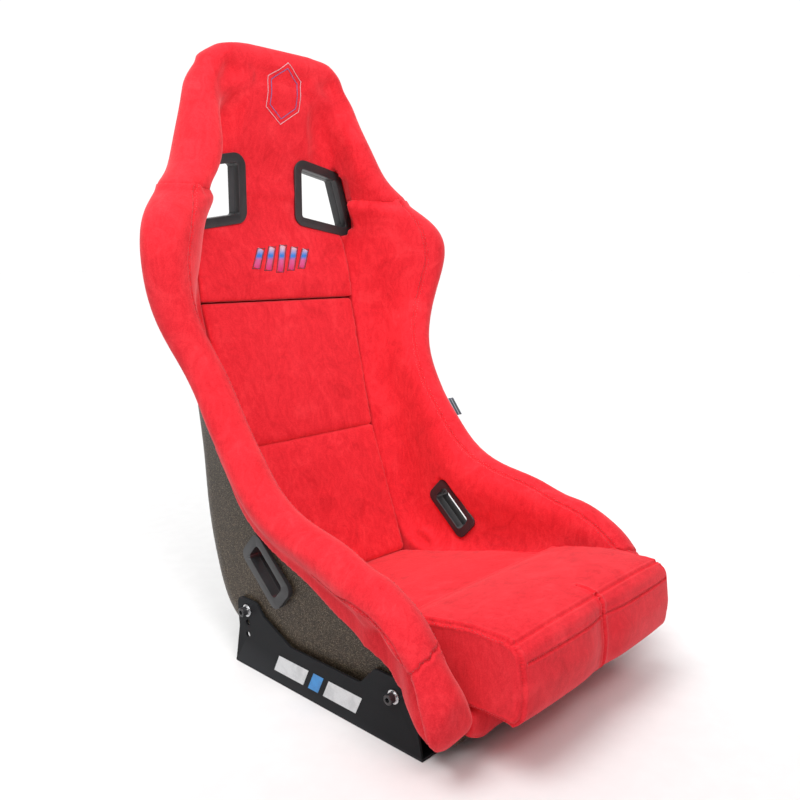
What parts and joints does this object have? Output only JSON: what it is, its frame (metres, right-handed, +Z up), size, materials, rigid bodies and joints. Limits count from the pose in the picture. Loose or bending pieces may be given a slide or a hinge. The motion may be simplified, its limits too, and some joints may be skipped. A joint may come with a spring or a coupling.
{
  "type": "racing seat",
  "caption": "Fixed-back bucket seat: fibreglass shell with rolled side bolsters, head and shoulder wings, belt openings, removable pads and a pair of bent side mounts.",
  "frame": {"origin": "floor level under the side mounts, in the middle of the four slots in their flanges", "axes": "+Z up, -Y towards the front of the seat, +X towards the occupant's left"},
  "size_m": [0.6004, 0.665, 0.908],
  "materials": {
    "gelcoat": "bronze metal-flake gel coat",
    "suede": "brushed nap",
    "foam": "open-cell foam",
    "powder_coat": "satin black powder coat",
    "bezel": "moulded black",
    "black_bolt": "black oxide",
    "zinc": "bright zinc",
    "hook_loop": "woven tape",
    "tag": "woven label"
  },
  "bodies": {
    "bucket": {"shell": "gelcoat", "mount_nut_plates": "zinc", "left_bracket": "powder_coat", "right_bracket": "powder_coat", "bracket_bolts": "black_bolt", "flat_washers": "zinc", "spring_washers": "zinc", "head_panel": "suede", "left_bolster": "suede", "right_bolster": "suede", "front_lip_trim": "suede", "side_tag": "tag", "left_shoulder_bezel_front": "bezel", "right_shoulder_bezel_front": "bezel", "left_shoulder_bezel_rear": "bezel", "right_shoulder_bezel_rear": "bezel", "left_lap_bezel_inner": "bezel", "right_lap_bezel_inner": "bezel", "left_lap_bezel_outer": "bezel", "right_lap_bezel_outer": "bezel", "back_hook_strips": "hook_loop", "seat_hook_strips": "hook_loop"},
    "upper_back_pad": {"upper_back_cover": "suede", "upper_back_foam": "foam", "upper_back_loop_strips": "hook_loop"},
    "lower_back_pad": {"lower_back_cover": "suede", "lower_back_foam": "foam", "lower_back_loop_strips": "hook_loop"},
    "seat_cushion": {"seat_cushion_cover": "suede", "seat_foam": "foam", "thigh_foam": "foam", "seat_loop_strips": "hook_loop"}
  },
  "joints": [
    {"name": "upper_back_pad_pull", "type": "slide", "parent": "bucket", "child": "upper_back_pad", "axis": [0, -0.9511, 0.309], "range_m": [0, 0.15]},
    {"name": "lower_back_pad_pull", "type": "slide", "parent": "bucket", "child": "lower_back_pad", "axis": [0, -0.9511, 0.309], "range_m": [0, 0.15]},
    {"name": "seat_cushion_pull", "type": "slide", "parent": "bucket", "child": "seat_cushion", "axis": [0, -0.9511, 0.309], "range_m": [0, 0.25]}
  ]
}
